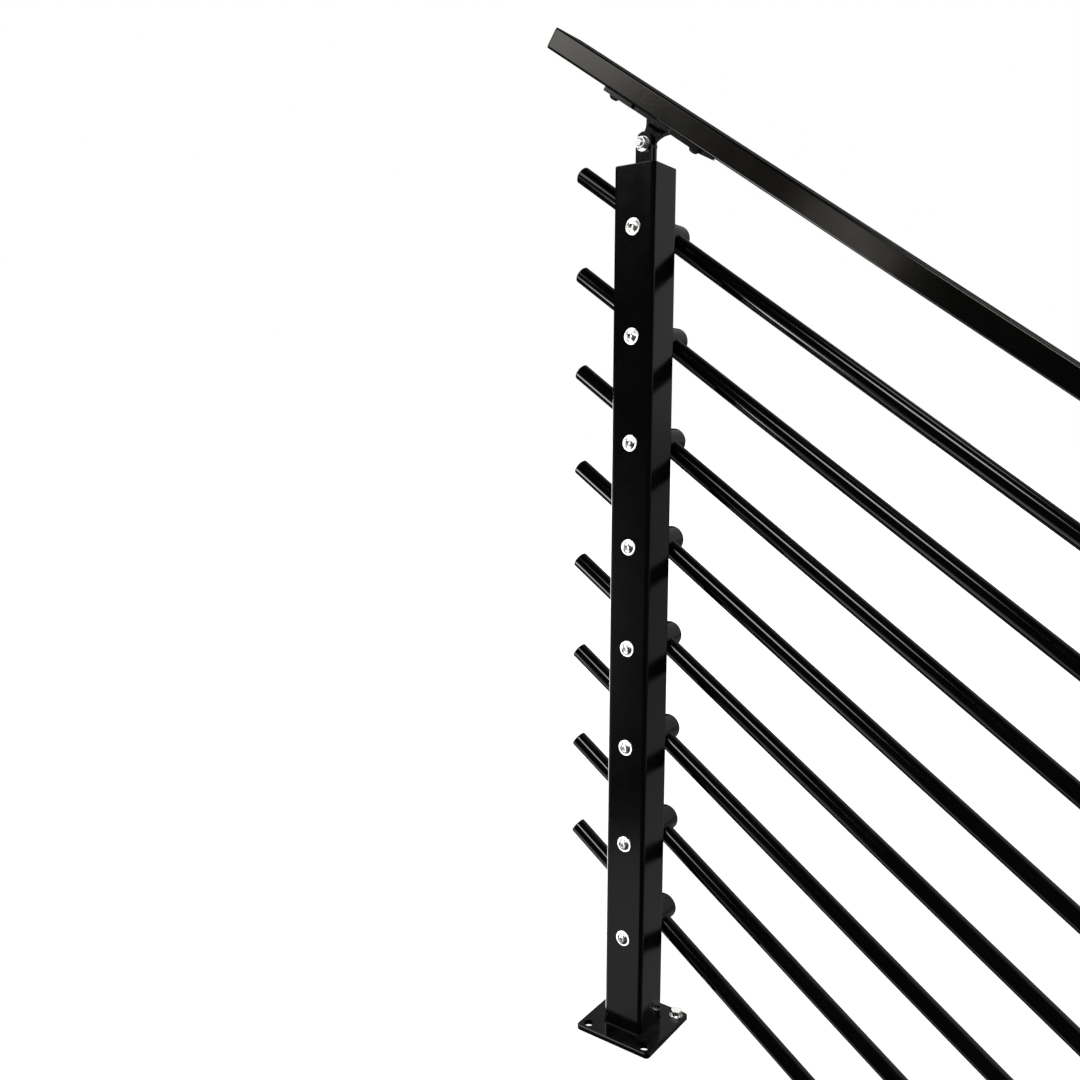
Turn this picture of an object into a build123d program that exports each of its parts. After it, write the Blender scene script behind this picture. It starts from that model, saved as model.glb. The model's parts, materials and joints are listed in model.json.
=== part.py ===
from build123d import *
from math import cos, sin, radians
import os

os.makedirs("parts", exist_ok=True)

# Raked handrail section: two square posts, eight round rods and a flat-topped handrail.
# Origin: centre of the upper post's base plate, on the ground. +Z up, +X down the rake.
# The rod screw heads face -Y (front); the rods run behind the posts, on +Y.
# Millimetres and degrees. Suffixes: _W width, _L length, _H height, _T thickness,
# _R radius, _AF across flats.

# ------------------------------------------------------------------ overall
RAKE = 35.6                 # fall of the rods and the handrail below level
POST_PITCH = 1000.0         # post centre to post centre, along the rake

CUT = 1.0                   # how far a cutting shape runs past a face
THROUGH = 60.0              # length of cutters that pass right through a piece
SEAT_GAP = 0.02             # under heads and nuts, and between saddles and handrail
PLUG_CLEAR = 0.05           # all round a plug in its tube
SOCKET_FLOOR = 1.5          # left between a screw head's seat and its hex socket

# ------------------------------------------------------------------ posts
POST_W = 50.0
POST_WALL = 2.5
POST_R = 4.5                # outside corner radius
POST_TOP = 990.0            # ground to the top of the cap
CAP_T = 3.0
CAP_EDGE_R = 1.0
CAP_PLUG = 14.0             # how far the cap's skirt reaches into the tube
CAP_SKIRT_WALL = 3.0
CAP_SKIRT_INNER_R = 1.0

BASE_W = 98.0
BASE_T = 6.0
BASE_R = 5.0
BASE_TOP_CHAMFER = 0.8
BASE_LOW_CHAMFER = 0.5
BASE_BOLT_SPACING = 76.0
BASE_HOLE_R = 6.0
WELD_LEG = 1.5
WELD_H = WELD_LEG * 0.95
WELD_TAPER = 44
WELD_GAP = 0.01             # between weld and tube

# ------------------------------------------------------------------ rods, holders and screws
ROD_COUNT = 8
ROD_TOP_Z = 925.0           # highest rod screw above the ground
ROD_PITCH = 115.0           # vertical distance between rods
ROD_R = 10.0
ROD_WALL = 1.5
ROD_OVERHANG = 142.5        # rod end beyond the post centre, along the rake
ROD_Y = 50.5                # rod axis
ROD_PLUG_FLANGE = 1.5
ROD_PLUG_LEN = 14.0
ROD_PLUG_EDGE_R = 0.9

HOLDER_R = 15.5
HOLDER_GAP = 0.1            # paint gap between holder and post
HOLDER_END_Y = 75.0
HOLDER_BACK_CHAMFER = 1.2
HOLDER_POST_CHAMFER = 0.5
HOLDER_BORE_R = ROD_R + 0.05
SCREW_R = 4.0               # M8 through screw
SCREW_TURN_CLEAR = 0.05     # holder turning on its screw at the upper post
SCREW_FREE_CLEAR = 0.25     # the same at the lower post
SCREW_TIP_Y = 39.0
SCREW_HEAD_R = 9.3          # flanged button head
SCREW_HEAD_H = 4.4
SCREW_BUTTON_R = 6.9
SCREW_LIP = 1.3
SCREW_SOCKET_AF = 5.0
POST_SCREW_HOLE_R = 4.3
M8_TIP_CHAMFER = 0.8
GRUB_R = 3.0
GRUB_CLEAR = 0.05
GRUB_ROD_GAP = 0.05         # between set screw and rod
GRUB_LEN = 9.0
GRUB_SOCKET_DEPTH = 3.5
GRUB_SOCKET_AF = 3.0

# ------------------------------------------------------------------ hinges
HINGE_UP = 23.5             # hinge axis above the post cap
FORK_W = 19.0               # along X
FORK_CHEEK = 4.3
FORK_SLOT = 4.0
FORK_ARC_UP = 3.5           # centre of the rounded top above the hinge axis
FORK_FLOOR = 4.0            # solid floor under the slot
HINGE_BOLT_R = 4.0          # M8
HINGE_CLEAR = 0.05
FORK_HOLE_R = 4.25
WASHER_R = 8.0
WASHER_T = 1.6
WASHER_GAP = 0.05           # between washer and fork cheek
WASHER_CLEAR = 0.25         # round the bolt
WASHER_EDGE_R = 0.3
NUT_AF = 12.0               # nut and both hex heads
NUT_T = 6.8
NUT_CLEAR = 0.04
NUT_BORE_CHAMFER = 0.6
BOLT_HEAD_T = 5.3
BOLT_STUB = 2.2             # thread showing past the nut
HEX_TRIM_R = 8.5            # outside the hexagon's corners

ANCHOR_HEAD_H = 6.6
ANCHOR_TRIM_R = 8.0
ANCHOR_TURN = 17            # turn of the hex head about its axis
ANCHOR_FLANGE_R = 7.75
ANCHOR_FLANGE_H = 2.0
ANCHOR_R = 4.0
ANCHOR_SHANK_Z = 0.3        # lower end of the shank

# ------------------------------------------------------------------ saddles
# heights are above the hinge axis, square to the rake
TONGUE_T = 3.6
TONGUE_R = 9.5
BOSS_LOW = 20.5             # underside of the boss
PLATE_LOW = 23.2            # underside of the saddle plate
PLATE_TOP = 27.8            # top of the saddle plate, where the handrail sits
PLATE_L = 146.0
PLATE_W = 36.0
PLATE_R = 4.0
WAIST_L = 58.0
WAIST_DEEP = 3.0
WAIST_R = WAIST_DEEP - 0.05
BOSS_L = 24.0
BOSS_W = 14.0
BOSS_R = 6.0
BOSS_EDGE_R = 1.2
BOSS_OFF = 2.5              # the boss sits downhill of the hinge
PLATE_LAP = 1.0             # boss and tongue run this far into the plate
TONGUE_ROOT = BOSS_LOW + 0.6
TONGUE_UPHILL = -14.5       # ends of the tongue's root, along the rake
TONGUE_DOWNHILL = 18.5

# thickening from tongue to boss: downhill of hinge, height, length, width, corner radius
BOSS_SECTIONS = (
    (0.6, 14.4, 19, TONGUE_T, 1.2),
    (1.2, 17.4, 21, 5.6, 2.2),
    (BOSS_OFF, TONGUE_ROOT, 23, 12, 5),
)

SADDLE_SCREW_AT = 60.0      # either side of the hinge
SADDLE_SCREW_Y = -9.0       # towards the front edge, where a driver reaches past the post
SADDLE_SCREW_R = 2.9
SADDLE_SCREW_HEAD_R = 5.75
SADDLE_SCREW_HEAD_H = 3.3
SADDLE_SCREW_LEN = 15.5     # below the head, point included
SADDLE_SCREW_POINT = 2.5
SADDLE_SCREW_SOCKET_AF = 4.0
SADDLE_HOLE_CLEAR = 0.3
RAIL_HOLE_CLEAR = 0.1

# ------------------------------------------------------------------ handrail
RAIL_W = 50.0
RAIL_H = 23.0
RAIL_WALL = 2.0
RAIL_R = 2.5
RAIL_OVERHANG = 161.5       # handrail end beyond the hinge, along the rake
RAIL_CAP_T = 2.5
RAIL_CAP_EDGE_R = 0.6
RAIL_CAP_PLUG = 16.0
RAIL_PLUG_WALL = 2.5        # from the tube's bore to the plug's hollow
RAIL_PLUG_INNER_R = 0.6

# ------------------------------------------------------------------ derived
RAKE_ANGLE = radians(RAKE)
DOWNHILL = Vector(cos(RAKE_ANGLE), 0, -sin(RAKE_ANGLE))     # along the rake
OFF_RAKE = Vector(sin(RAKE_ANGLE), 0, cos(RAKE_ANGLE))      # square to the rake, upwards
POSTS = (("a", Vector(0, 0, 0)), ("b", DOWNHILL * POST_PITCH))
POST_AT = (0, POST_PITCH)           # the posts, measured along the rake
HALF = POST_W / 2
POST_BORE = POST_W - 2 * POST_WALL
TUBE_TOP = POST_TOP - CAP_T
ROD_Z = [ROD_TOP_Z - i * ROD_PITCH for i in range(ROD_COUNT)]
FORK_D = 2 * FORK_CHEEK + FORK_SLOT
WASHER_Y = FORK_D / 2 + WASHER_GAP  # inner face of the rear washer
HEAD_Y = WASHER_Y + WASHER_T + SEAT_GAP
NUT_Y = -HEAD_Y - NUT_T             # front face of the nut
HINGE_A = Vector(0, 0, POST_TOP + HINGE_UP)
RAIL_MID = PLATE_TOP + SEAT_GAP + RAIL_H / 2
RAIL_BORE_W = RAIL_W - 2 * RAIL_WALL
RAIL_BORE_H = RAIL_H - 2 * RAIL_WALL


def level(at, z):
    """Horizontal plane z above a point."""
    return Plane(origin=at + Vector(0, 0, z), x_dir=(1, 0, 0), z_dir=(0, 0, 1))


def facing_back(at, y, z):
    """Upright plane, normal +Y, local x along +X, local y down."""
    return Plane(origin=at + Vector(0, y, z), x_dir=(1, 0, 0), z_dir=(0, 1, 0))


def across(at, along, up=0.0):
    """Plane square to the rake: local x is +Y, local y is up off the rake."""
    origin = at + DOWNHILL * along + OFF_RAKE * up
    return Plane(origin=origin, x_dir=(0, 1, 0), z_dir=DOWNHILL)


def raked(at, along, up):
    """Plane lying in the rake: local x is downhill, local y is +Y."""
    return Plane(origin=at + DOWNHILL * along + OFF_RAKE * up, x_dir=DOWNHILL, z_dir=OFF_RAKE)


def side_on(at):
    """Upright plane: local x downhill, local y up off the rake."""
    return Plane(origin=at, x_dir=DOWNHILL, z_dir=(0, -1, 0))


def save(part, name):
    part.label = name
    export_step(part, f"parts/{name}.step")


# ------------------------------------------------------------------ pieces at each post
def make_post_tube(tag, foot):
    """Square tube with one hole per rod through its front and back walls."""
    with BuildPart() as tube:
        with BuildSketch(level(foot, BASE_T)):
            RectangleRounded(POST_W, POST_W, POST_R)
            RectangleRounded(POST_BORE, POST_BORE, POST_R - POST_WALL, mode=Mode.SUBTRACT)
        extrude(amount=TUBE_TOP - BASE_T)
        for z in ROD_Z:
            with BuildSketch(facing_back(foot, -HALF - CUT, z)):
                Circle(POST_SCREW_HOLE_R)
            extrude(amount=POST_W + 2 * CUT, mode=Mode.SUBTRACT)
    save(tube.part, f"post_{tag}_tube")


def make_base_plate(tag, foot):
    """Flat plate with four corner holes."""
    with BuildPart() as plate:
        with BuildSketch(level(foot, 0)):
            RectangleRounded(BASE_W, BASE_W, BASE_R)
        extrude(amount=BASE_T)
        top = plate.faces().sort_by(Axis.Z)[-1]
        chamfer(top.outer_wire().edges(), length=BASE_TOP_CHAMFER)
        underside = plate.faces().sort_by(Axis.Z)[0]
        chamfer(underside.outer_wire().edges(), length=BASE_LOW_CHAMFER)
        with BuildSketch(level(foot, -CUT)):
            with GridLocations(BASE_BOLT_SPACING, BASE_BOLT_SPACING, 2, 2):
                Circle(BASE_HOLE_R)
        extrude(amount=BASE_T + 2 * CUT, mode=Mode.SUBTRACT)
    save(plate.part, f"post_{tag}_base_plate")


def make_weld(tag, foot):
    """Fillet weld all round the foot of the tube."""
    outer = POST_W + 2 * WELD_LEG
    inner = POST_W + 2 * WELD_GAP
    with BuildPart() as weld:
        with BuildSketch(level(foot, BASE_T)):
            RectangleRounded(outer, outer, POST_R + WELD_LEG)
        extrude(amount=WELD_H, taper=WELD_TAPER)
        with BuildSketch(level(foot, BASE_T - CUT)):
            RectangleRounded(inner, inner, POST_R + WELD_GAP)
        extrude(amount=WELD_LEG + 2 * CUT, mode=Mode.SUBTRACT)
    save(weld.part, f"post_{tag}_weld_bead")


def make_top_cap(tag, foot):
    """Flush lid with a hollow skirt pressed into the tube."""
    skirt = POST_BORE - 2 * PLUG_CLEAR
    hollow = skirt - 2 * CAP_SKIRT_WALL
    with BuildPart() as cap:
        with BuildSketch(level(foot, TUBE_TOP)):
            RectangleRounded(POST_W, POST_W, POST_R)
        extrude(amount=CAP_T)
        fillet(cap.faces().sort_by(Axis.Z)[-1].outer_wire().edges(), radius=CAP_EDGE_R)
        with BuildSketch(level(foot, TUBE_TOP - CAP_PLUG)):
            RectangleRounded(skirt, skirt, POST_R - POST_WALL - PLUG_CLEAR)
            RectangleRounded(hollow, hollow, CAP_SKIRT_INNER_R, mode=Mode.SUBTRACT)
        extrude(amount=CAP_PLUG)
    save(cap.part, f"post_{tag}_top_cap")


def make_fork(tag, foot):
    """Two upright cheeks with a rounded top, joined by a floor, standing on the cap."""
    side = FORK_W / 2
    shoulder = -HINGE_UP - FORK_ARC_UP      # local y runs down, so heights are negative
    with BuildPart() as fork:
        with BuildSketch(facing_back(foot, -FORK_D / 2, POST_TOP)):
            with BuildLine():
                Polyline((side, shoulder), (side, 0), (-side, 0), (-side, shoulder))
                ThreePointArc((-side, shoulder), (0, shoulder - side), (side, shoulder))
            make_face()
        extrude(amount=FORK_D)
        with BuildSketch(facing_back(foot, -FORK_SLOT / 2, POST_TOP)):
            with Locations((0, -FORK_FLOOR - THROUGH / 2)):
                Rectangle(FORK_W + 2 * CUT, THROUGH)
        extrude(amount=FORK_SLOT, mode=Mode.SUBTRACT)
        with BuildSketch(facing_back(foot, -FORK_D, POST_TOP)):
            with Locations((0, -HINGE_UP)):
                Circle(FORK_HOLE_R)
        extrude(amount=2 * FORK_D, mode=Mode.SUBTRACT)
    save(fork.part, f"post_{tag}_fork")


def make_washers(tag, hinge):
    """One washer either side of the fork."""
    with BuildPart() as washers:
        for y in (WASHER_Y, -WASHER_Y - WASHER_T):
            with BuildSketch(facing_back(hinge, y, 0)):
                Circle(WASHER_R)
                Circle(HINGE_BOLT_R + WASHER_CLEAR, mode=Mode.SUBTRACT)
            extrude(amount=WASHER_T)
        rims = washers.edges().filter_by(GeomType.CIRCLE).group_by(SortBy.RADIUS)[-1]
        fillet(rims, radius=WASHER_EDGE_R)
    save(washers.part, f"hinge_{tag}_washers")


def make_hinge_bolt(tag, hinge):
    """Hex head at the back, shank forwards through fork and tongue, end past the nut."""
    with BuildPart() as bolt:
        with BuildSketch(facing_back(hinge, HEAD_Y, 0)):
            RegularPolygon(NUT_AF / 2, 6, major_radius=False)
        extrude(amount=BOLT_HEAD_T)
        # trim the corners of the outer face the way a forged head is
        with BuildSketch(level(hinge + Vector(0, HEAD_Y, 0), 0)):
            with BuildLine():
                Polyline(
                    (0, 0), (HEX_TRIM_R, 0), (HEX_TRIM_R, BOLT_HEAD_T - 1.4),
                    (NUT_AF / 2 - 0.2, BOLT_HEAD_T), (0, BOLT_HEAD_T), (0, 0),
                )
            make_face()
        revolve(axis=Axis(hinge, (0, 1, 0)), mode=Mode.INTERSECT)
        with BuildSketch(facing_back(hinge, NUT_Y - BOLT_STUB, 0)):
            Circle(HINGE_BOLT_R)
        extrude(amount=HEAD_Y - NUT_Y + BOLT_STUB)
        chamfer(bolt.faces().sort_by(Axis.Y)[0].edges(), length=M8_TIP_CHAMFER)
    save(bolt.part, f"hinge_{tag}_bolt")


def make_hinge_nut(tag, hinge):
    """Nut on the front, its corners trimmed at both ends."""
    with BuildPart() as nut:
        with BuildSketch(facing_back(hinge, NUT_Y, 0)):
            RegularPolygon(NUT_AF / 2, 6, major_radius=False)
        extrude(amount=NUT_T)
        with BuildSketch(level(hinge + Vector(0, NUT_Y, 0), 0)):
            with BuildLine():
                Polyline(
                    (0, 0), (NUT_AF / 2 - 0.1, 0), (HEX_TRIM_R, 1.5),
                    (HEX_TRIM_R, NUT_T - 0.8), (6.6, NUT_T), (0, NUT_T), (0, 0),
                )
            make_face()
        revolve(axis=Axis(hinge, (0, 1, 0)), mode=Mode.INTERSECT)
        with BuildSketch(facing_back(hinge, NUT_Y - CUT, 0)):
            Circle(HINGE_BOLT_R + NUT_CLEAR)
        extrude(amount=NUT_T + 2 * CUT, mode=Mode.SUBTRACT)
        front = nut.faces().sort_by(Axis.Y)[0]
        chamfer(front.inner_wires()[0].edges(), length=NUT_BORE_CHAMFER)
    save(nut.part, f"hinge_{tag}_nut")


def make_rod_screws(tag, foot):
    """Domed flange screws, one per rod, right through the post into the holders."""
    # profile points: radius, distance behind the head's seat
    crown = (0, -SCREW_HEAD_H)
    button_edge = (SCREW_BUTTON_R - 0.2, -SCREW_LIP - 0.75)
    flange_top = (8.3, -SCREW_LIP)
    flange_rim = (SCREW_HEAD_R, -0.35)
    tip = SCREW_TIP_Y + HALF
    with BuildPart() as screws:
        for z in ROD_Z:
            with BuildSketch(level(foot + Vector(0, -HALF - SEAT_GAP, 0), z)):
                with BuildLine():
                    ThreePointArc(crown, (3.9, -3.85), button_edge)
                    Polyline(button_edge, (SCREW_BUTTON_R, -SCREW_LIP - 0.2), flange_top)
                    ThreePointArc(flange_top, (9.05, -0.95), flange_rim)
                    Polyline(
                        flange_rim, (SCREW_HEAD_R, 0), (SCREW_R, 0),
                        (SCREW_R, tip - M8_TIP_CHAMFER), (SCREW_R - M8_TIP_CHAMFER, tip),
                        (0, tip), crown,
                    )
                make_face()
            revolve(axis=Axis(foot + Vector(0, 0, z), (0, 1, 0)))
            with BuildSketch(facing_back(foot, -HALF - SCREW_HEAD_H - CUT, z)):
                RegularPolygon(SCREW_SOCKET_AF / 2, 6, major_radius=False)
            extrude(amount=SCREW_HEAD_H + CUT - SOCKET_FLOOR, mode=Mode.SUBTRACT)
    save(screws.part, f"post_{tag}_rod_screws")


def make_saddle(tag, hinge):
    """Tongue in the fork, flared boss, long waisted plate under the handrail."""
    with BuildPart() as saddle:
        with BuildSketch(raked(hinge, 0, PLATE_LOW)):
            RectangleRounded(PLATE_L, PLATE_W, PLATE_R)
            with Locations((0, PLATE_W / 2), (0, -PLATE_W / 2)):
                RectangleRounded(WAIST_L, 2 * WAIST_DEEP, WAIST_R, mode=Mode.SUBTRACT)
        extrude(amount=PLATE_TOP - PLATE_LOW)
        with BuildSketch(raked(hinge, BOSS_OFF, BOSS_LOW)):
            RectangleRounded(BOSS_L, BOSS_W, BOSS_R)
        extrude(amount=PLATE_LOW - BOSS_LOW + PLATE_LAP)
        flats = saddle.faces().filter_by(raked(hinge, 0, 0))
        boss_underside = flats.sort_by(Axis(hinge, OFF_RAKE))[0]
        fillet(boss_underside.outer_wire().edges(), radius=BOSS_EDGE_R)
        # tongue: round eye about the hinge, swept out into the boss
        uphill_root = (TONGUE_UPHILL, TONGUE_ROOT)
        downhill_root = (TONGUE_DOWNHILL, TONGUE_ROOT)
        root_top = PLATE_LOW + PLATE_LAP
        with BuildSketch(side_on(hinge)):
            Circle(TONGUE_R)
            with BuildLine():
                Polyline((-TONGUE_R, 0), (-TONGUE_R, 9.5))
                ThreePointArc((-TONGUE_R, 9.5), (-10.7, 15.2), uphill_root)
                Polyline(
                    uphill_root, (TONGUE_UPHILL, root_top),
                    (TONGUE_DOWNHILL, root_top), downhill_root,
                )
                ThreePointArc(downhill_root, (12.3, 14.6), (TONGUE_R, 8.0))
                Polyline((TONGUE_R, 8.0), (TONGUE_R, 0), (-TONGUE_R, 0))
            make_face()
        extrude(amount=TONGUE_T / 2, both=True)
        # the casting thickens from the tongue into the boss
        for along, up, length, width, corner in BOSS_SECTIONS:
            with BuildSketch(raked(hinge, along, up)):
                RectangleRounded(length, width, corner)
        loft()
        with BuildSketch(facing_back(hinge, -THROUGH / 2, 0)):
            Circle(HINGE_BOLT_R + HINGE_CLEAR)
        extrude(amount=THROUGH, mode=Mode.SUBTRACT)
        with BuildSketch(raked(hinge, 0, PLATE_LOW - CUT)):
            with Locations((SADDLE_SCREW_AT, SADDLE_SCREW_Y), (-SADDLE_SCREW_AT, SADDLE_SCREW_Y)):
                Circle(SADDLE_SCREW_R + SADDLE_HOLE_CLEAR)
        extrude(amount=PLATE_TOP - PLATE_LOW + 2 * CUT, mode=Mode.SUBTRACT)
    save(saddle.part, f"saddle_{tag}")


def make_anchor_bolt():
    """Flanged hex bolt in the +X +Y corner of the upper base plate, its shank in the hole."""
    seat = BASE_T + SEAT_GAP
    at = Vector(BASE_BOLT_SPACING / 2, BASE_BOLT_SPACING / 2, seat)
    upright = Plane(origin=at, x_dir=(1, 0, 0), z_dir=(0, -1, 0))
    flange_low = (ANCHOR_FLANGE_R, 0)
    flange_high = (ANCHOR_FLANGE_R, 1.0)
    with BuildPart() as bolt:
        with BuildSketch(level(at, 0)):
            RegularPolygon(NUT_AF / 2, 6, major_radius=False, rotation=ANCHOR_TURN)
        extrude(amount=ANCHOR_HEAD_H)
        with BuildSketch(upright):
            with BuildLine():
                Polyline(
                    (0, 0), (ANCHOR_TRIM_R, 0), (ANCHOR_TRIM_R, ANCHOR_HEAD_H - 1.0),
                    (5.8, ANCHOR_HEAD_H), (0, ANCHOR_HEAD_H), (0, 0),
                )
            make_face()
        revolve(axis=Axis(at, (0, 0, 1)), mode=Mode.INTERSECT)
        with BuildSketch(upright):
            with BuildLine():
                Polyline((0, 0), flange_low)
                ThreePointArc(flange_low, (8.1, 0.45), flange_high)
                Polyline(flange_high, (6.0, ANCHOR_FLANGE_H), (0, ANCHOR_FLANGE_H), (0, 0))
            make_face()
        revolve(axis=Axis(at, (0, 0, 1)))
        with BuildSketch(level(at, ANCHOR_SHANK_Z - seat)):
            Circle(ANCHOR_R)
        extrude(amount=seat)
    save(bolt.part, "post_a_anchor_bolt")


# ------------------------------------------------------------------ handrail pieces
def make_handrail():
    """Rectangular tube with two screw holes over each saddle."""
    with BuildPart() as rail:
        with BuildSketch(across(HINGE_A, -RAIL_OVERHANG + RAIL_CAP_T, RAIL_MID)):
            RectangleRounded(RAIL_W, RAIL_H, RAIL_R)
            RectangleRounded(RAIL_BORE_W, RAIL_BORE_H, RAIL_R - RAIL_WALL, mode=Mode.SUBTRACT)
        extrude(amount=POST_PITCH + 2 * (RAIL_OVERHANG - RAIL_CAP_T))
        for along in POST_AT:
            with BuildSketch(raked(HINGE_A, along, PLATE_TOP - CUT)):
                with Locations(
                    (SADDLE_SCREW_AT, SADDLE_SCREW_Y), (-SADDLE_SCREW_AT, SADDLE_SCREW_Y)
                ):
                    Circle(SADDLE_SCREW_R + RAIL_HOLE_CLEAR)
            extrude(amount=RAIL_WALL + 2 * CUT, mode=Mode.SUBTRACT)
    save(rail.part, "handrail_tube")


def make_rail_cap(name, lid_at, plug_at, outer):
    """Flush lid and hollow plug; outer picks the lid's outside face, counted downhill."""
    plug_w = RAIL_BORE_W - 2 * PLUG_CLEAR
    plug_h = RAIL_BORE_H - 2 * PLUG_CLEAR
    hollow_w = RAIL_BORE_W - 2 * RAIL_PLUG_WALL
    hollow_h = RAIL_BORE_H - 2 * RAIL_PLUG_WALL
    with BuildPart() as cap:
        with BuildSketch(across(HINGE_A, lid_at, RAIL_MID)):
            RectangleRounded(RAIL_W, RAIL_H, RAIL_R)
        extrude(amount=RAIL_CAP_T)
        ends = cap.faces().filter_by(across(HINGE_A, 0)).sort_by(Axis(HINGE_A, DOWNHILL))
        fillet(ends[outer].outer_wire().edges(), radius=RAIL_CAP_EDGE_R)
        with BuildSketch(across(HINGE_A, plug_at, RAIL_MID)):
            RectangleRounded(plug_w, plug_h, RAIL_R - RAIL_WALL - PLUG_CLEAR)
            RectangleRounded(hollow_w, hollow_h, RAIL_PLUG_INNER_R, mode=Mode.SUBTRACT)
        extrude(amount=RAIL_CAP_PLUG)
    save(cap.part, name)


def make_saddle_screws():
    """Four screws, heads under the saddle plates, points inside the handrail."""
    # profile points: radius, height above the head's seat
    head_h, head_r = SADDLE_SCREW_HEAD_H, SADDLE_SCREW_HEAD_R
    crown = (0, -head_h)
    head_edge = (head_r, -0.7)
    with BuildPart() as screws:
        for along in POST_AT:
            for side in (-1, 1):
                at = HINGE_A + DOWNHILL * (along + side * SADDLE_SCREW_AT)
                at += Vector(0, SADDLE_SCREW_Y, 0)
                with BuildSketch(side_on(at + OFF_RAKE * (PLATE_LOW - SEAT_GAP))):
                    with BuildLine():
                        ThreePointArc(crown, (head_r * 0.72, -head_h * 0.8), head_edge)
                        Polyline(
                            head_edge, (head_r, 0), (SADDLE_SCREW_R, 0),
                            (SADDLE_SCREW_R, SADDLE_SCREW_LEN - SADDLE_SCREW_POINT),
                            (SADDLE_SCREW_R - 1.6, SADDLE_SCREW_LEN),
                            (0, SADDLE_SCREW_LEN), crown,
                        )
                    make_face()
                revolve(axis=Axis(at, OFF_RAKE))
                with BuildSketch(raked(at, 0, PLATE_LOW - head_h - CUT)):
                    RegularPolygon(SADDLE_SCREW_SOCKET_AF / 2, 6, major_radius=False)
                extrude(amount=head_h + CUT - SOCKET_FLOOR, mode=Mode.SUBTRACT)
    save(screws.part, "saddle_screws")


# ------------------------------------------------------------------ pieces of each rod
def make_rod_tube(number, z):
    with BuildPart() as rod:
        with BuildSketch(across(Vector(0, ROD_Y, z), -ROD_OVERHANG + ROD_PLUG_FLANGE)):
            Circle(ROD_R)
            Circle(ROD_R - ROD_WALL, mode=Mode.SUBTRACT)
        extrude(amount=POST_PITCH + 2 * (ROD_OVERHANG - ROD_PLUG_FLANGE))
    save(rod.part, f"rod_{number}_tube")


def make_holders(number, z):
    """Round holder at each post, bored for rod, through screw (front) and set screw (back)."""
    centres = [Vector(0, 0, z) + DOWNHILL * along for along in POST_AT]
    with BuildPart() as holders:
        for at in centres:
            with BuildSketch(facing_back(at, HALF + HOLDER_GAP, 0)):
                Circle(HOLDER_R)
            extrude(amount=HOLDER_END_Y - HALF - HOLDER_GAP)
        back_rims = holders.edges().filter_by(GeomType.CIRCLE).group_by(Axis.Y)[-1]
        chamfer(back_rims, length=HOLDER_BACK_CHAMFER)
        post_rims = holders.edges().filter_by(GeomType.CIRCLE).group_by(Axis.Y)[0]
        chamfer(post_rims, length=HOLDER_POST_CHAMFER)
        for at, clear in zip(centres, (SCREW_TURN_CLEAR, SCREW_FREE_CLEAR)):
            with BuildSketch(across(at + Vector(0, ROD_Y, 0), -THROUGH / 2)):
                Circle(HOLDER_BORE_R)
            extrude(amount=THROUGH, mode=Mode.SUBTRACT)
            with BuildSketch(facing_back(at, HALF - CUT, 0)):
                Circle(SCREW_R + clear)
            extrude(amount=ROD_Y - HALF, mode=Mode.SUBTRACT)
            with BuildSketch(facing_back(at, ROD_Y, 0)):
                Circle(GRUB_R + GRUB_CLEAR)
            extrude(amount=HOLDER_END_Y - ROD_Y + CUT, mode=Mode.SUBTRACT)
    save(holders.part, f"rod_{number}_holders")


def make_set_screws(number, z):
    """Socket set screws behind the rod, one in each holder."""
    start_y = ROD_Y + ROD_R + GRUB_ROD_GAP
    with BuildPart() as screws:
        for along in POST_AT:
            at = Vector(0, 0, z) + DOWNHILL * along
            with BuildSketch(facing_back(at, start_y, 0)):
                Circle(GRUB_R)
            extrude(amount=GRUB_LEN)
            with BuildSketch(facing_back(at, start_y + GRUB_LEN - GRUB_SOCKET_DEPTH, 0)):
                RegularPolygon(GRUB_SOCKET_AF / 2, 6, major_radius=False)
            extrude(amount=GRUB_SOCKET_DEPTH + CUT, mode=Mode.SUBTRACT)
    save(screws.part, f"rod_{number}_set_screws")


def make_end_plugs(number, z):
    """Plugs closing both ends of the rod."""
    centre = Vector(0, ROD_Y, z)
    upper_lid = -ROD_OVERHANG
    lower_lid = POST_PITCH + ROD_OVERHANG - ROD_PLUG_FLANGE
    with BuildPart() as plugs:
        for lid_at, stem_at in (
            (upper_lid, upper_lid + ROD_PLUG_FLANGE),
            (lower_lid, lower_lid - ROD_PLUG_LEN),
        ):
            with BuildSketch(across(centre, lid_at)):
                Circle(ROD_R)
            extrude(amount=ROD_PLUG_FLANGE)
            with BuildSketch(across(centre, stem_at)):
                Circle(ROD_R - ROD_WALL - PLUG_CLEAR)
            extrude(amount=ROD_PLUG_LEN)
        rims = plugs.edges().filter_by(GeomType.CIRCLE).group_by(SortBy.RADIUS)[-1]
        rims = rims.sort_by(Axis(centre, DOWNHILL))
        fillet([rims[0], rims[-1]], radius=ROD_PLUG_EDGE_R)
    save(plugs.part, f"rod_{number}_end_plugs")


# ------------------------------------------------------------------ build
for tag, foot in POSTS:
    for make in (
        make_post_tube, make_base_plate, make_weld, make_top_cap, make_fork, make_rod_screws
    ):
        make(tag, foot)
    for make in (make_washers, make_hinge_bolt, make_hinge_nut, make_saddle):
        make(tag, foot + HINGE_A)

make_anchor_bolt()
make_handrail()
upper_lid = -RAIL_OVERHANG
lower_lid = POST_PITCH + RAIL_OVERHANG - RAIL_CAP_T
make_rail_cap("handrail_upper_end_cap", upper_lid, upper_lid + RAIL_CAP_T, outer=0)
make_rail_cap("handrail_lower_end_cap", lower_lid, lower_lid - RAIL_CAP_PLUG, outer=-1)
make_saddle_screws()

for number, z in enumerate(ROD_Z, start=1):
    for make in (make_rod_tube, make_holders, make_set_screws, make_end_plugs):
        make(number, z)
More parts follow.
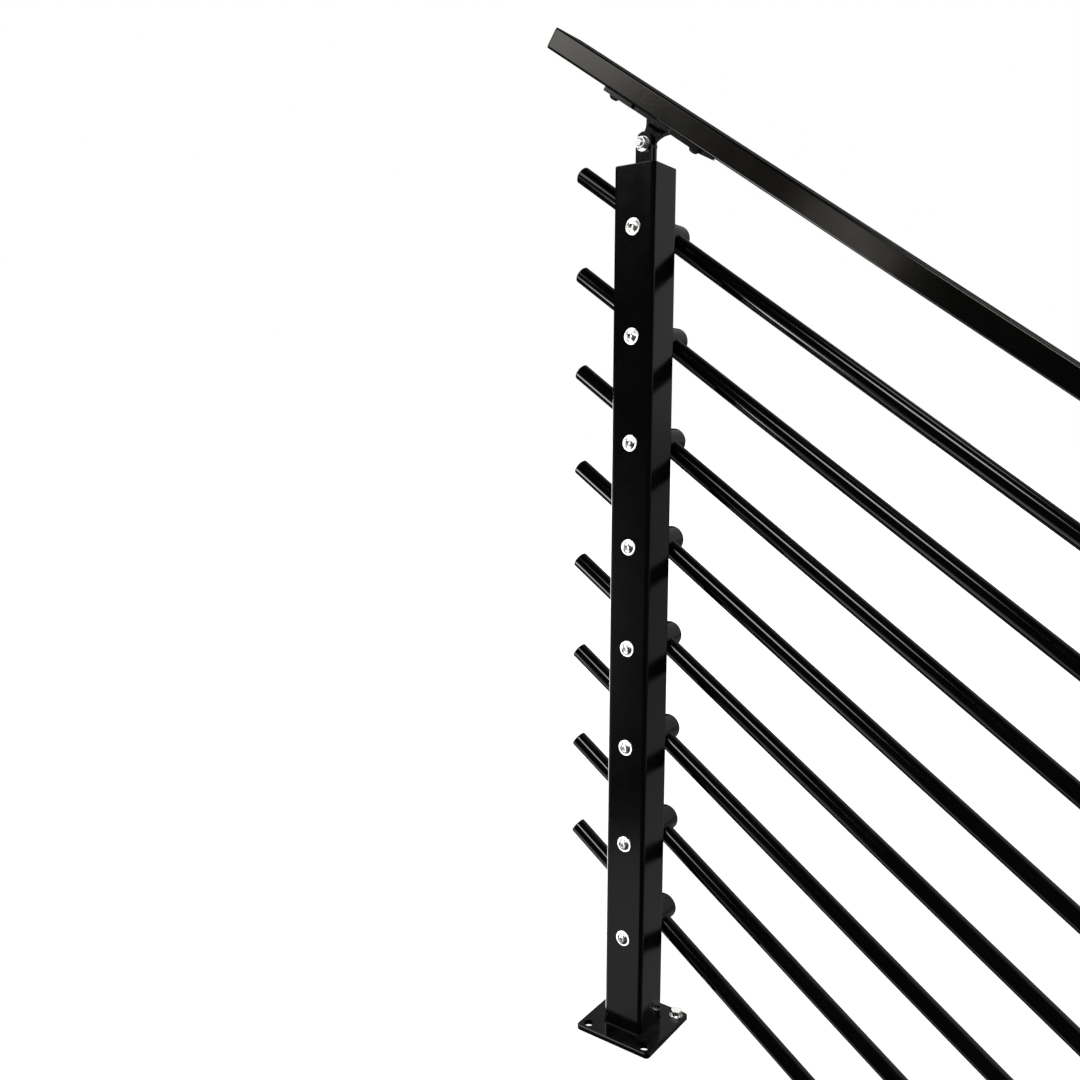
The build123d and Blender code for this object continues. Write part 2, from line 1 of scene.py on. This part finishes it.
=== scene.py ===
# A black raked handrail on two hinged posts. Post A stands at the origin and post B stands one
# hinge step away, downhill towards +X. The rail lies in the XZ plane. In the comments -Y is the
# front, -X the left and +X the right.
import json
import math

import bmesh
import bpy
from mathutils import Matrix, Vector


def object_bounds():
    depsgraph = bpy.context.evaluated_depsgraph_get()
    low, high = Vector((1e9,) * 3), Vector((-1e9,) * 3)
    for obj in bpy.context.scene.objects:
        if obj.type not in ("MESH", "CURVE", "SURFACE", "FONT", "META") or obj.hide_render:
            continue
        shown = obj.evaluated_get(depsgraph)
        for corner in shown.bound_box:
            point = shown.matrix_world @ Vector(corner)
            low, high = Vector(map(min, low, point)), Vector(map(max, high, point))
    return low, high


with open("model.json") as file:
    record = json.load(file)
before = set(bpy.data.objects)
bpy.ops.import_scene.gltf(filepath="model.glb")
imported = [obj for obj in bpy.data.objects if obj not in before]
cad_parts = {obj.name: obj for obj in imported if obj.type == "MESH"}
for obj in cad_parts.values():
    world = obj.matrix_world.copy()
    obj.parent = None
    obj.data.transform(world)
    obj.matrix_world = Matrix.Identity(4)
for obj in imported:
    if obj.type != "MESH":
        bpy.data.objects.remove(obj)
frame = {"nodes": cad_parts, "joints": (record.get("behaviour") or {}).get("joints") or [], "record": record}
CAD_LOW, CAD_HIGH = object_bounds()
NODES = frame["nodes"]
SLOT_OF = {part["node"]: part["material_slot"] for part in frame["record"]["subparts"]}
JOINT = {joint["name"]: joint for joint in frame["joints"]}

STEP = Vector(JOINT["post_b_hinge"]["pos_m"]) - Vector(JOINT["rake_hinge"]["pos_m"])
DOWNHILL = STEP.normalized()
RAKE_NORMAL = Vector((-DOWNHILL.z, 0, DOWNHILL.x))    # up off the rake
FEET = (Vector((0, 0, 0)), STEP)
POST_HALF = 0.025                    # centre line to the flat face of a post
POST_MIDDLE = (0, 0, 0.55)
STAGE_X = 0.4                        # centre of the floor, and where the key light aims


# ---------------------------------------------------------------- node helpers
class Net:
    """A small builder for node trees. Inputs take either a socket or a plain value."""

    def __init__(self, tree):
        self.tree = tree
        self.x = 0

    def node(self, kind, **props):
        made = self.tree.nodes.new(kind)
        self.x += 40
        made.location = (self.x, 0)
        for prop, value in props.items():
            setattr(made, prop, value)
        return made

    def put(self, socket, value):
        if isinstance(value, bpy.types.NodeSocket):
            self.tree.links.new(value, socket)
        else:
            socket.default_value = value

    def math(self, operation, first, second=0.0, clamp=False):
        made = self.node("ShaderNodeMath", operation=operation, use_clamp=clamp)
        for socket, value in zip(made.inputs, (first, second, 0.0)):
            self.put(socket, value)
        return made.outputs[0]

    def add(self, value, other):
        return self.math("ADD", value, other)

    def subtract(self, value, other):
        return self.math("SUBTRACT", value, other)

    def multiply(self, value, amount):
        return self.math("MULTIPLY", value, amount)

    def divide(self, value, by):
        return self.math("DIVIDE", value, by)

    def blend(self, first, second, share):
        """Share 0 gives the first value and share 1 the second."""
        kept = self.multiply(first, self.subtract(1.0, share))
        return self.add(kept, self.multiply(second, share))

    def vector_math(self, operation, first, second=(0.0, 0.0, 0.0)):
        made = self.node("ShaderNodeVectorMath", operation=operation)
        self.put(made.inputs[0], first)
        self.put(made.inputs[1], second)
        scalar = operation in ("DOT_PRODUCT", "LENGTH")
        return made.outputs["Value" if scalar else "Vector"]

    def split(self, vector):
        made = self.node("ShaderNodeSeparateXYZ")
        self.put(made.inputs[0], vector)
        return made.outputs

    def object_position(self):
        return self.node("ShaderNodeTexCoord").outputs["Object"]

    def ramp(self, value, over, to=(0.0, 1.0)):
        """Smooth step: over is the pair of input values that give the pair in to."""
        made = self.node("ShaderNodeMapRange", interpolation_type="SMOOTHSTEP", clamp=True)
        names = ("Value", "From Min", "From Max", "To Min", "To Max")
        for name, given in zip(names, (value, *over, *to)):
            self.put(made.inputs[name], given)
        return made.outputs["Result"]

    def noise(self, coord, scale, detail, rough, distortion=0.0):
        made = self.node("ShaderNodeTexNoise")
        names = ("Vector", "Scale", "Detail", "Roughness", "Distortion")
        for name, given in zip(names, (coord, scale, detail, rough, distortion)):
            self.put(made.inputs[name], given)
        return made.outputs["Fac"]

    def stretched_noise(self, coord, scale, **look):
        """Noise with its own scale along each axis."""
        mapping = self.node("ShaderNodeMapping")
        self.put(mapping.inputs["Vector"], coord)
        mapping.inputs["Scale"].default_value = scale
        return self.noise(mapping.outputs[0], scale=1.0, **look)

    def edge_flatness(self, normal, radius):
        """1 on flat faces, less within the radius of an edge."""
        bevel = self.node("ShaderNodeBevel", samples=3)
        bevel.inputs["Radius"].default_value = radius
        return self.vector_math("DOT_PRODUCT", bevel.outputs[0], normal)

    def mix(self, share, first, second):
        made = self.node("ShaderNodeMix", data_type="RGBA")
        self.put(made.inputs[0], share)
        self.put(made.inputs[6], first)
        self.put(made.inputs[7], second)
        return made.outputs[2]

    def bump(self, height, distance):
        made = self.node("ShaderNodeBump")
        self.put(made.inputs["Height"], height)
        self.put(made.inputs["Strength"], 1.0)
        self.put(made.inputs["Distance"], distance)
        return made.outputs["Normal"]


def new_net(owner):
    """An empty node tree on a material or a world."""
    owner.use_nodes = True
    owner.node_tree.nodes.clear()
    return Net(owner.node_tree)


def new_material(name, shown):
    """A Principled material; shown is its viewport colour."""
    material = bpy.data.materials.new(name)
    net = new_net(material)
    material.diffuse_color = shown
    bsdf = net.node("ShaderNodeBsdfPrincipled")
    net.put(net.node("ShaderNodeOutputMaterial").inputs[0], bsdf.outputs[0])
    return material, net, bsdf


# ---------------------------------------------------------------- finishes
def powder_coat(name, colour, rough, peel, dust=1.0, sheen=0.5, cut_edge=None,
                sheen_tint=(1, 1, 1, 1)):
    """Baked powder coat with orange peel of height peel, patchy sheen, polished edges lightened partly as
    wear and partly as a painted highlight, and dust.

    cut_edge, when given, is the duller sheen of the upright cut sides under the coat."""
    material, net, bsdf = new_material(name, colour)
    bsdf.inputs["Specular Tint"].default_value = sheen_tint
    normal = net.node("ShaderNodeNewGeometry").outputs["Normal"]
    pos = net.object_position()
    patch = net.noise(pos, scale=9.0, detail=3.0, rough=0.55)
    cloud = net.noise(pos, scale=55.0, detail=4.0, rough=0.6)
    waves = net.noise(pos, scale=340.0, detail=1.0, rough=0.4)     # orange peel, about 3 mm
    fine = net.noise(pos, scale=2600.0, detail=2.0, rough=0.6)     # grain, about 0.4 mm
    # hair scratches, long and sparse
    streak = net.stretched_noise(pos, scale=(900.0, 900.0, 26.0), detail=2.0, rough=0.5,
                                 distortion=0.3)
    scratch = net.multiply(net.ramp(streak, over=(0.66, 0.74)), net.ramp(patch, over=(0.52, 0.66)))
    # dust lies on what faces up
    facing_z = net.split(normal)["Z"]
    lying = net.multiply(net.ramp(facing_z, over=(0.55, 0.98)), net.ramp(cloud, over=(0.40, 0.74)))
    lying = net.multiply(lying, amount=0.05 * dust)
    # the coat runs thin and polished along the edges; its colour there is lighter, partly wear and partly a
    # painted edge highlight
    flat = net.edge_flatness(normal, radius=0.0008)
    edge_wear_and_highlight = net.multiply(net.ramp(flat, over=(0.995, 0.90)), net.ramp(cloud, over=(0.35, 0.6)))

    def tint(bright, warm=1.0):
        red, green, blue, _ = colour
        return (red * bright * warm, green * bright, blue * bright / warm, 1)

    wear_and_highlight_colour = (0.020, 0.020, 0.019, 1)
    dust_colour = (0.15, 0.145, 0.135, 1)
    base = net.mix(net.ramp(patch, over=(0.3, 0.7)), tint(bright=0.75), tint(bright=1.3, warm=1.04))
    grain = net.multiply(net.ramp(fine, over=(0.55, 0.75)), amount=0.4)
    base = net.mix(grain, base, tint(bright=2.4))
    # painted edge highlight: the colour is lightened along the edges, on top of the wear
    base = net.mix(net.multiply(edge_wear_and_highlight, amount=0.30), base, wear_and_highlight_colour)
    base = net.mix(lying, base, dust_colour)
    net.put(bsdf.inputs["Base Color"], base)

    roughness = net.add(net.ramp(patch, over=(0.25, 0.75), to=(rough - 0.02, rough + 0.02)),
                        net.ramp(cloud, over=(0.3, 0.7), to=(-0.012, 0.014)))
    roughness = net.add(roughness, net.multiply(scratch, amount=0.07))
    roughness = net.add(roughness, net.multiply(lying, amount=1.2))
    polish = net.multiply(edge_wear_and_highlight, amount=0.04)
    net.put(bsdf.inputs["Roughness"], net.math("SUBTRACT", roughness, polish, clamp=True))
    bsdf.inputs["IOR"].default_value = 1.5
    if cut_edge is not None:
        upright = net.math("ABSOLUTE", facing_z)
        sheen = net.ramp(upright, over=(0.15, 0.55), to=(cut_edge, sheen))
    net.put(bsdf.inputs["Specular IOR Level"], sheen)

    height = net.add(waves, net.multiply(fine, amount=0.06))
    height = net.subtract(height, net.multiply(scratch, amount=0.15))
    net.put(bsdf.inputs["Normal"], net.bump(height, distance=peel))
    return material


def bright_metal(name):
    """Zinc-bright steel fastener: fine brushed lines, a faint warm film, darker fine marks, and edges
    lightened partly by polished wear and partly as a painted highlight.
    """
    material, net, bsdf = new_material(name, shown=(0.7, 0.7, 0.68, 1))
    normal = net.node("ShaderNodeNewGeometry").outputs["Normal"]
    pos = net.object_position()
    patch = net.noise(pos, scale=90.0, detail=3.0, rough=0.6)
    fine = net.noise(pos, scale=2600.0, detail=3.0, rough=0.6)
    brush = net.stretched_noise(pos, scale=(2400.0, 300.0, 2400.0), detail=3.0, rough=0.6)
    edge_wear_and_highlight = net.ramp(net.edge_flatness(normal, radius=0.0006), over=(0.995, 0.88))

    clean, film = (0.86, 0.855, 0.84, 1), (0.76, 0.75, 0.73, 1)
    grime, polished_highlight = (0.50, 0.49, 0.47, 1), (0.93, 0.925, 0.91, 1)
    base = net.mix(net.ramp(patch, over=(0.3, 0.75)), clean, film)
    base = net.mix(net.multiply(net.ramp(fine, over=(0.60, 0.80)), amount=0.45), base, grime)
    # painted edge highlight: lighter colour along the edges, on top of the polished wear
    base = net.mix(net.multiply(edge_wear_and_highlight, amount=0.5), base, polished_highlight)
    net.put(bsdf.inputs["Base Color"], base)
    bsdf.inputs["Metallic"].default_value = 1.0
    roughness = net.add(net.ramp(patch, over=(0.3, 0.7), to=(0.19, 0.26)),
                        net.ramp(brush, over=(0.35, 0.7), to=(-0.02, 0.05)))
    net.put(bsdf.inputs["Roughness"], roughness)
    height = net.add(brush, net.multiply(fine, amount=0.6))
    net.put(bsdf.inputs["Normal"], net.bump(height, distance=0.0000035))
    return material


def black_oxide(name):
    """Half-metallic black with soft patches."""
    material, net, bsdf = new_material(name, shown=(0.02, 0.02, 0.02, 1))
    pos = net.object_position()
    patch = net.noise(pos, scale=220.0, detail=4.0, rough=0.6)
    fine = net.noise(pos, scale=3200.0, detail=2.0, rough=0.6)
    dark, diffuse_and_glow = (0.006, 0.006, 0.007, 1), (0.022, 0.021, 0.020, 1)
    net.put(bsdf.inputs["Base Color"], net.mix(net.ramp(patch, over=(0.35, 0.7)), dark, diffuse_and_glow))
    bsdf.inputs["Metallic"].default_value = 0.5
    net.put(bsdf.inputs["Roughness"], net.ramp(patch, over=(0.3, 0.7), to=(0.28, 0.42)))
    net.put(bsdf.inputs["Normal"], net.bump(fine, distance=0.000004))
    return material


def plug_plastic(name):
    """Moulded polyamide with a fine spark-eroded texture."""
    material, net, bsdf = new_material(name, shown=(0.015, 0.015, 0.015, 1))
    pos = net.object_position()
    patch = net.noise(pos, scale=70.0, detail=3.0, rough=0.55)
    cell = net.node("ShaderNodeTexVoronoi")
    net.put(cell.inputs["Vector"], pos)
    cell.inputs["Scale"].default_value = 2100.0
    fine = net.noise(pos, scale=3000.0, detail=3.0, rough=0.6)
    dark, diffuse_and_glow = (0.003, 0.003, 0.0033, 1), (0.008, 0.008, 0.0085, 1)
    net.put(bsdf.inputs["Base Color"], net.mix(net.ramp(patch, over=(0.3, 0.7)), dark, diffuse_and_glow))
    net.put(bsdf.inputs["Roughness"], net.ramp(patch, over=(0.3, 0.7), to=(0.30, 0.40)))
    height = net.add(cell.outputs["Distance"], net.multiply(fine, amount=0.7))
    net.put(bsdf.inputs["Normal"], net.bump(height, distance=0.000006))
    return material


BLACK = (0.0008, 0.0008, 0.00085, 1)
COATS = {
    "black_powder_coat": dict(colour=BLACK, rough=0.15, peel=0.000020),
    "black_rail_coat": dict(colour=(0.0006, 0.00058, 0.0005, 1), rough=0.14, peel=0.000016,
                            sheen_tint=(1.0, 0.96, 0.89, 1)),
    "black_gloss_coat": dict(colour=(0.0006, 0.0006, 0.00065, 1), rough=0.085, peel=0.000010,
                             dust=0.6),
    "black_plate_coat": dict(colour=BLACK, rough=0.15, peel=0.000020, cut_edge=0.06),
    "black_weld_coat": dict(colour=(0.0008, 0.0008, 0.0008, 1), rough=0.32, peel=0.000040,
                            dust=0.5, sheen=0.10),
}
MATERIALS = {name: powder_coat(name, **look) for name, look in COATS.items()}
for name, make in (
    ("bright_hardware", bright_metal),
    ("dark_hardware", black_oxide),
    ("black_plug_plastic", plug_plastic),
):
    MATERIALS[name] = make(name)


def slot_for(name):
    if name.endswith("_base_plate"):
        return "black_plate_coat"
    if name.endswith("_weld_bead"):
        return "black_weld_coat"
    return SLOT_OF[name]


for name, obj in NODES.items():
    obj.data.materials.clear()
    obj.data.materials.append(MATERIALS[slot_for(name)])


# ---------------------------------------------------------------- studio
# Softboxes: azimuth, elevation, angle of the full-strength core, angle of the rim (degrees), power
SOFTBOXES = (
    (39.5, 32, 13.0, 18.3, 2.9),      # front left, high
    (-14, 38, 3.0, 10.0, 9.0),        # front, a little right, high
    (46, -12, 12.0, 15.2, 0.36),      # spill of the first, below the horizon
    (63, -41, 5.0, 16.0, 0.8),        # glow off the floor on the left
    (-95, 66, 2.0, 9.0, 3.0),         # right, steeply above
)
LOW_LAMP = (53, -19, 3.5, 9.5, 12.0)  # front left, low; switched by the "Low lamp" input


def direction(azimuth, elevation):
    """Unit vector: azimuth in degrees from -Y towards -X, elevation in degrees above level."""
    turn, rise = math.radians(azimuth), math.radians(elevation)
    return (-math.sin(turn) * math.cos(rise), -math.cos(turn) * math.cos(rise), math.sin(rise))


def surroundings(net, look):
    """Dark in front with a paler floor on the left; grey behind, darker below the horizon."""
    x, y, z = net.split(look)
    azimuth = net.math("ARCTAN2", net.multiply(x, -1.0), net.multiply(y, -1.0))
    behind = net.ramp(y, over=(-0.05, 0.40))
    floor_left = net.multiply(net.ramp(azimuth, over=(math.radians(38), math.radians(54))),
                              net.ramp(azimuth, over=(math.radians(96), math.radians(78))))
    floor_left = net.multiply(floor_left, net.ramp(z, over=(-0.36, -0.60)))
    dark = 0.018
    front = net.add(net.multiply(floor_left, amount=0.40), dark)
    high = net.ramp(z, over=(0.57, 0.80), to=(0.32, 0.08))
    low = net.ramp(x, over=(-0.35, 0.25), to=(0.06, 0.16))
    low = net.add(low, net.ramp(z, over=(-0.25, -0.48), to=(0.0, 0.05)))
    back = net.blend(low, high, share=net.ramp(z, over=(-0.05, 0.06)))
    # a black flag behind, on the left and in the middle; its top edge follows the handrail
    flag = net.multiply(net.ramp(x, over=(0.42, 0.24)), net.ramp(z, over=(-0.34, -0.24)))
    off_rake = net.vector_math("DOT_PRODUCT", look, tuple(RAKE_NORMAL))
    flag = net.multiply(flag, net.ramp(off_rake, over=(0.185, 0.14)))
    back = net.multiply(back, net.subtract(1.0, net.multiply(flag, amount=0.95)))
    return net.blend(front, back, share=behind)


def softbox(net, look, azimuth, elevation, core, rim, power):
    facing = net.vector_math("DOT_PRODUCT", look, direction(azimuth, elevation))
    edge = (math.cos(math.radians(rim)), math.cos(math.radians(core)))
    return net.ramp(facing, over=edge, to=(0.0, power))


def studio_group():
    """Radiance of the studio by direction, as the shiny surfaces see it."""
    group = bpy.data.node_groups.new("studio", "ShaderNodeTree")
    for name, side, kind in (
        ("Direction", "INPUT", "NodeSocketVector"),
        ("Low lamp", "INPUT", "NodeSocketFloat"),
        ("Radiance", "OUTPUT", "NodeSocketFloat"),
    ):
        group.interface.new_socket(name, in_out=side, socket_type=kind)
    net = Net(group)
    given, result = net.node("NodeGroupInput"), net.node("NodeGroupOutput")
    look = net.vector_math("NORMALIZE", given.outputs[0])
    total = surroundings(net, look)
    boxes = 0.0
    for box in SOFTBOXES:
        boxes = net.add(boxes, softbox(net, look, *box))
    boxes = net.add(boxes, net.multiply(softbox(net, look, *LOW_LAMP), given.outputs[1]))
    # lamps seen twice over in the black coat fade out
    bounces = net.node("ShaderNodeLightPath").outputs["Glossy Depth"]
    boxes = net.multiply(boxes, net.ramp(bounces, over=(1.4, 1.9), to=(1.0, 0.06)))
    net.put(result.inputs[0], net.add(total, boxes))
    return group


def studio_world():
    """The studio for glossy rays, plain white for all others."""
    world = bpy.data.worlds.new("studio_world")
    bpy.context.scene.world = world
    net = new_net(world)
    path = net.node("ShaderNodeLightPath")
    studio = net.node("ShaderNodeGroup", node_tree=STUDIO)
    net.put(studio.inputs[0], net.node("ShaderNodeTexCoord").outputs["Generated"])
    net.put(studio.inputs[1], 1.0)
    glossy = path.outputs["Is Glossy Ray"]
    strength = net.add(net.multiply(glossy, studio.outputs[0]), net.subtract(1.0, glossy))
    background = net.node("ShaderNodeBackground")
    background.inputs["Color"].default_value = (1, 1, 1, 1)
    net.put(background.inputs["Strength"], strength)
    net.put(net.node("ShaderNodeOutputWorld").inputs["Surface"], background.outputs[0])


STUDIO = studio_group()
studio_world()

# ---------------------------------------------------------------- floor
# below the lowest foot at the steepest slope the hinge allows
CLEARANCE = 0.0004
LEVEL = CAD_LOW.z - CLEARANCE
STEEPEST = math.atan2(-STEP.z, STEP.x) + math.radians(JOINT["rake_hinge"]["range_deg"][1])
FLOOR_Z = min(LEVEL, -STEP.length * math.sin(STEEPEST) - CLEARANCE)
# elliptical pool of light seen mirrored: centre and half axes along X and Y
POOL_X, POOL_Y = -0.76, -1.10
POOL_HALF_X, POOL_HALF_Y = 0.42, 0.60


def make_floor():
    shape = bmesh.new()
    bmesh.ops.create_circle(shape, cap_ends=True, cap_tris=False, segments=96, radius=60.0)
    mesh = bpy.data.meshes.new("floor")
    shape.to_mesh(mesh)
    shape.free()
    floor = bpy.data.objects.new("floor", mesh)
    floor.location = (STAGE_X, 0, FLOOR_Z)
    bpy.context.scene.collection.objects.link(floor)
    return floor


def low_lamp_mask(net, spot, toward):
    """Grids the low lamp so that it misses the flat front and left of either post."""
    def crossing(plane, across, along):
        """Where the ray meets a plane across one axis, measured along another."""
        run = net.divide(net.subtract(plane, spot[across]), toward[across])
        return net.add(spot[along], net.multiply(run, toward[along]))

    def clear_of_post(offset):
        rim = (POST_HALF + 0.0005, POST_HALF + 0.0025)
        return net.ramp(net.math("ABSOLUTE", offset), over=rim, to=(0.03, 1.0))

    front_x = crossing(-POST_HALF, across=1, along=0)
    mask = 1.0
    for foot in FEET:
        mask = net.multiply(mask, clear_of_post(net.subtract(front_x, foot.x)))
        left_y = crossing(foot.x - POST_HALF, across=0, along=1)
        mask = net.multiply(mask, clear_of_post(left_y))
    return mask


def light_pool(net, spot, toward):
    """The pool of light, placed where the ray crosses the level of the lower foot."""
    rise = net.divide(LEVEL - FLOOR_Z, toward[2])
    x = net.add(spot[0], net.multiply(rise, toward[0]))
    y = net.add(spot[1], net.multiply(rise, toward[1]))
    x = net.divide(net.subtract(x, POOL_X), POOL_HALF_X)
    y = net.divide(net.subtract(y, POOL_Y), POOL_HALF_Y)
    reach = net.add(net.multiply(x, x), net.multiply(y, y))
    return net.ramp(reach, over=(0.68, 1.18), to=(0.44, 0.0))


def pale_glowing_floor():
    """Pale to the eye, by painted light: the floor glows, more strongly away from the posts; glossy rays see
    the studio through it instead.
    """
    material = bpy.data.materials.new("pale_glowing_floor")
    net = new_net(material)
    path = net.node("ShaderNodeLightPath")
    geometry = net.node("ShaderNodeNewGeometry")
    studio = net.node("ShaderNodeGroup", node_tree=STUDIO)
    onward = net.node("ShaderNodeVectorMath", operation="SCALE")
    net.put(onward.inputs[0], geometry.outputs["Incoming"])
    onward.inputs["Scale"].default_value = -1.0
    net.put(studio.inputs[0], onward.outputs["Vector"])
    mirrored = net.node("ShaderNodeEmission")
    spot = net.split(geometry.outputs["Position"])
    toward = net.split(geometry.outputs["Incoming"])
    net.put(studio.inputs[1], low_lamp_mask(net, spot, toward))
    pool = light_pool(net, spot, toward)
    net.put(mirrored.inputs["Strength"], net.add(studio.outputs[0], pool))

    away = net.vector_math("LENGTH", net.object_position())
    speck = net.noise(net.object_position(), scale=3.0, detail=3.0, rough=0.6)
    diffuse = net.node("ShaderNodeBsdfDiffuse")
    diffuse.inputs["Color"].default_value = (0.42, 0.42, 0.42, 1)
    # painted light: the floor glows, from 0.46 near the posts up to 1.0 far away, so the far floor reads
    # white
    glow = net.node("ShaderNodeEmission")
    strength = net.add(net.ramp(away, over=(1.6, 5.0), to=(0.46, 1.0)),
                       net.ramp(speck, over=(0.3, 0.7), to=(0.0, 0.01)))
    net.put(glow.inputs["Strength"], strength)
    diffuse_and_glow = net.node("ShaderNodeAddShader")
    net.put(diffuse_and_glow.inputs[0], diffuse.outputs[0])
    net.put(diffuse_and_glow.inputs[1], glow.outputs[0])
    pick = net.node("ShaderNodeMixShader")
    net.put(pick.inputs[0], path.outputs["Is Glossy Ray"])
    net.put(pick.inputs[1], diffuse_and_glow.outputs[0])
    net.put(pick.inputs[2], mirrored.outputs[0])
    net.put(net.node("ShaderNodeOutputMaterial").inputs[0], pick.outputs[0])
    return material


make_floor().data.materials.append(pale_glowing_floor())


# ---------------------------------------------------------------- lights
def soft_light(name, azimuth, elevation, distance, size, radiance, at, only=None,
               glossy=True, diffuse=True, tall=None):
    """A disk light, or a strip when tall is given, in a direction from the point at.

    With only, it lights those objects and no others."""
    data = bpy.data.lights.new(name, "AREA")
    data.size = size
    if tall is None:
        data.shape = "DISK"
        data.energy = radiance * math.pi * math.pi * (size / 2) ** 2
    else:
        data.shape = "RECTANGLE"
        data.size_y = tall
        data.energy = radiance * math.pi * size * tall
    light = bpy.data.objects.new(name, data)
    toward = Vector(direction(azimuth, elevation))
    light.location = Vector(at) + toward * distance
    light.rotation_mode = "QUATERNION"
    light.rotation_quaternion = (-toward).to_track_quat("-Z", "Y")
    light.visible_camera = False
    light.visible_glossy = glossy
    light.visible_diffuse = diffuse
    bpy.context.scene.collection.objects.link(light)
    if only is not None:
        receivers = bpy.data.collections.new(name + "_lit")
        for obj in only:
            receivers.objects.link(obj)
        light.light_linking.receiver_collection = receivers


BRIGHT = [obj for name, obj in NODES.items() if SLOT_OF[name] == "bright_hardware"]
RAIL = [NODES["handrail_tube"], NODES["handrail_upper_end_cap"]]

# behind and above: its shadows fall on the floor in front
soft_light("key", azimuth=175, elevation=62, distance=3.4, size=2.4, radiance=7.0,
           at=(STAGE_X, 0, 0), glossy=False)
# name, azimuth, elevation, distance, size, radiance, point aimed at, objects lit
for row in (
    ("metal_front", 32, -4, 3.0, 2.7, 2.6, POST_MIDDLE, BRIGHT),
    ("metal_low", 31, -27, 1.0, 0.9, 2.3, (0, -POST_HALF, 0.14), BRIGHT),
    ("metal_back", 146, 34, 3.0, 2.2, 1.05, POST_MIDDLE, BRIGHT),
    ("metal_right", -45, 28, 3.0, 2.0, 1.5, POST_MIDDLE, BRIGHT),
    ("metal_top", 62, 62, 3.0, 3.2, 2.0, POST_MIDDLE, BRIGHT),
    ("metal_over", 150, 86, 3.0, 1.8, 3.0, POST_MIDDLE, BRIGHT),
    ("bolt_dome", -10, 78, 1.0, 1.8, 2.6, (0.038, 0.038, 0.01), [NODES["post_a_anchor_bolt"]]),
    ("metal_left", 96, 2, 3.0, 2.6, 1.8, POST_MIDDLE, BRIGHT),
    ("metal_behind", -128, -22, 3.0, 1.6, 1.2, POST_MIDDLE, BRIGHT),
):
    soft_light(*row)
# these three show only as reflections
soft_light("rail_fill", azimuth=19.8, elevation=10.2, distance=3.0, size=0.39, radiance=1.4,
           at=(0.26, -POST_HALF, 0.86), only=RAIL, diffuse=False)
soft_light("rail_wall", azimuth=26, elevation=14.5, distance=3.0, size=0.55, radiance=0.12,
           at=(0.15, -POST_HALF, 0.93), only=RAIL, diffuse=False)
soft_light("post_edge", azimuth=112, elevation=0, distance=0.5, size=0.35, radiance=5.0,
           at=(0, 0, 0.20), only=[NODES["post_a_tube"]], diffuse=False, tall=1.1)

bpy.context.scene.view_settings.view_transform = "Standard"
bpy.context.scene.view_settings.look = "None"

# ---------------------------------------------------------------- camera
EYE = Vector((0.561554, -0.953008, 0.722441))
VIEW_RIGHT = Vector((0.80489314, 0.59341331, 0.00277113))
VIEW_UP = Vector((-0.0755196, 0.09779914, 0.9923367))
VIEW_AHEAD = Vector((-0.58859479, 0.79893427, -0.1235322))

lens = bpy.data.cameras.new("camera")
lens.sensor_fit = "HORIZONTAL"
lens.sensor_width = 36.0
lens.lens = 32.7378333
lens.clip_start, lens.clip_end = 0.01, 200.0
camera = bpy.data.objects.new("camera", lens)
turned = Matrix((VIEW_RIGHT, VIEW_UP, -VIEW_AHEAD)).transposed().to_4x4()
camera.matrix_world = Matrix.Translation(EYE) @ turned
bpy.context.scene.collection.objects.link(camera)
bpy.context.scene.camera = camera
